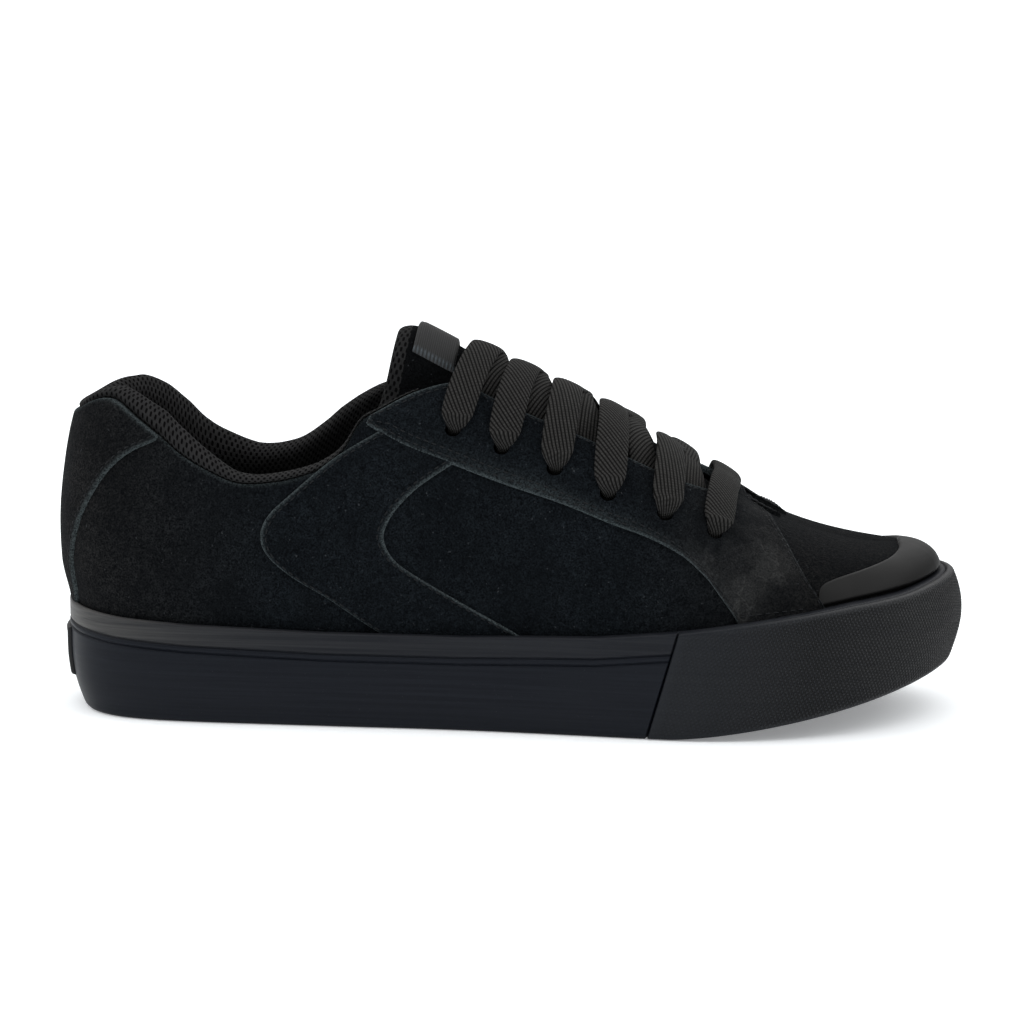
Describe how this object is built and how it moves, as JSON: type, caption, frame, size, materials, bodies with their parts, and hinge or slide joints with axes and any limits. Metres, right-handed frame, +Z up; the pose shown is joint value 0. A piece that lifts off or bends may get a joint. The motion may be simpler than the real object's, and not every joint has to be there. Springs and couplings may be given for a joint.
{
  "type": "low-top skate shoe",
  "caption": "Right low-top skateboarding shoe: flat cup sole with rubber toe bumper and toe guard, hollow suede upper, padded collar and tongue, flat laces.",
  "frame": {"origin": "the point on the flat underside where the heel rests on the floor, 40 mm ahead of the back of the heel", "axes": "+X to the toe, +Y to the medial side, +Z up; the lateral side faces -Y"},
  "size_m": [0.3035, 0.1058, 0.1303],
  "materials": {
    "suede": "black napped suede",
    "sole_rubber": "satin black",
    "guard_rubber": "smooth black",
    "mesh_lining": "black mesh",
    "woven": "black woven"
  },
  "bodies": {
    "root": {"cupsole": "sole_rubber", "toe_bumper": "sole_rubber", "heel_patch": "sole_rubber", "toe_guard": "guard_rubber", "upper": "suede", "eyestay": "suede", "side_panel_lateral": "suede", "side_panel_medial": "suede", "heel_counter": "suede", "tongue": "suede", "collar_lining": "mesh_lining", "insole": "mesh_lining", "tongue_label": "woven", "lace_1": "woven", "lace_2": "woven", "lace_3": "woven", "lace_4": "woven", "lace_5": "woven", "lace_6": "woven"}
  },
  "joints": []
}
